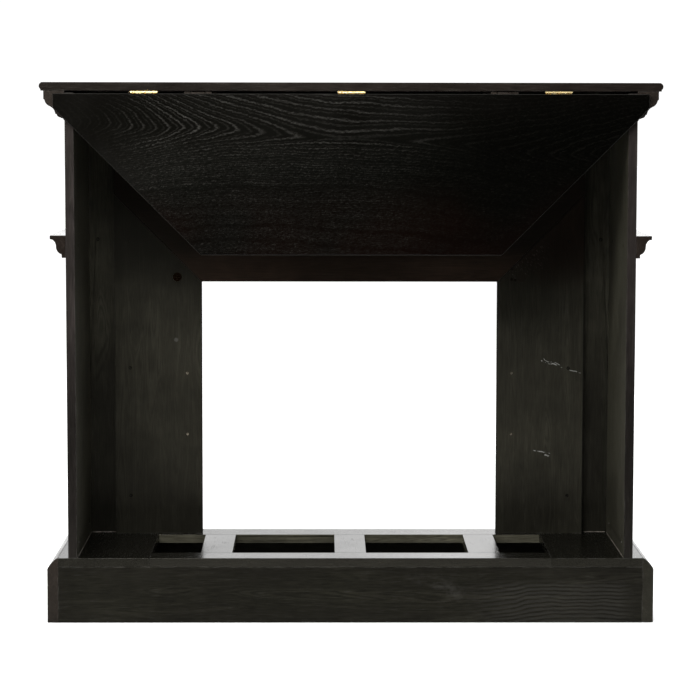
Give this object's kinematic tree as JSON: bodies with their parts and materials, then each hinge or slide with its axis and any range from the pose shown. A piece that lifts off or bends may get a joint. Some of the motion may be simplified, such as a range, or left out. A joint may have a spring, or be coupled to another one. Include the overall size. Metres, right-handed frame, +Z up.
{
  "type": "corner fireplace mantel surround",
  "caption": "Free-standing fireplace mantel surround with mitred firebox opening, slatted base platform and a hinged leaf that folds up to fill a room corner.",
  "frame": {"origin": "on the floor under the middle of the whole object, with the corner leaf hanging down", "axes": "+X to the right seen from the front, +Y towards the rear (wall side), +Z up"},
  "size_m": [1.162, 0.3842, 1.018],
  "materials": {
    "ebony_lacquer": "satin black lacquer over oak veneer",
    "leaf_veneer": "open-grain black veneer, satin",
    "brown_stain": "thin dark brown stain",
    "raw_wood": "unfinished pine and beech",
    "brass": "bright plated",
    "zinc_steel": "zinc plated",
    "black_plastic": "moulded matte"
  },
  "bodies": {
    "carcass": {"top_slab": "ebony_lacquer", "crown_front": "ebony_lacquer", "crown_left": "ebony_lacquer", "crown_right": "ebony_lacquer", "side_panel_left": "brown_stain", "side_panel_right": "brown_stain", "pilaster_left": "ebony_lacquer", "pilaster_right": "ebony_lacquer", "frieze_panel": "ebony_lacquer", "ledge_front": "ebony_lacquer", "ledge_left": "ebony_lacquer", "ledge_right": "ebony_lacquer", "surround_header": "ebony_lacquer", "surround_stile_left": "ebony_lacquer", "surround_stile_right": "ebony_lacquer", "base_front_rail": "ebony_lacquer", "base_left_rail": "ebony_lacquer", "base_right_rail": "ebony_lacquer", "base_rear_rail": "ebony_lacquer", "base_corner_blocks": "raw_wood", "platform_end_left": "ebony_lacquer", "platform_end_right": "ebony_lacquer", "platform_front_strip": "ebony_lacquer", "platform_rear_strip": "ebony_lacquer", "platform_rib_left": "ebony_lacquer", "platform_rib_centre": "ebony_lacquer", "platform_rib_right": "ebony_lacquer", "platform_dowels": "raw_wood", "top_cleat_left": "brown_stain", "top_cleat_right": "brown_stain", "cleat_screws": "zinc_steel", "loper_left": "brown_stain", "loper_right": "brown_stain", "loper_guide_left_outer": "brown_stain", "loper_guide_left_inner": "brown_stain", "loper_guide_right_inner": "brown_stain", "loper_guide_right_outer": "brown_stain", "loper_straps": "raw_wood", "hinge_fixed_wing_left": "brass", "hinge_fixed_wing_centre": "brass", "hinge_fixed_wing_right": "brass", "hinge_pin_left": "brass", "hinge_pin_centre": "brass", "hinge_pin_right": "brass", "hinge_screws_slab": "brass", "cam_locks": "zinc_steel", "cam_bolts": "zinc_steel", "cam_cover_cap": "black_plastic", "surround_screws": "zinc_steel", "ledge_screws": "zinc_steel", "foot_screws": "zinc_steel"},
    "leaf": {"hinge_moving_wing_left": "brass", "hinge_moving_wing_centre": "brass", "hinge_moving_wing_right": "brass", "hinge_screws_leaf": "brass", "corner_leaf": "leaf_veneer"}
  },
  "joints": [
    {"name": "leaf_fold", "type": "hinge", "parent": "carcass", "child": "leaf", "pos_m": [0, 0.1733, 0.9992], "axis": [1, 0, 0], "range_deg": [0, 90]}
  ]
}
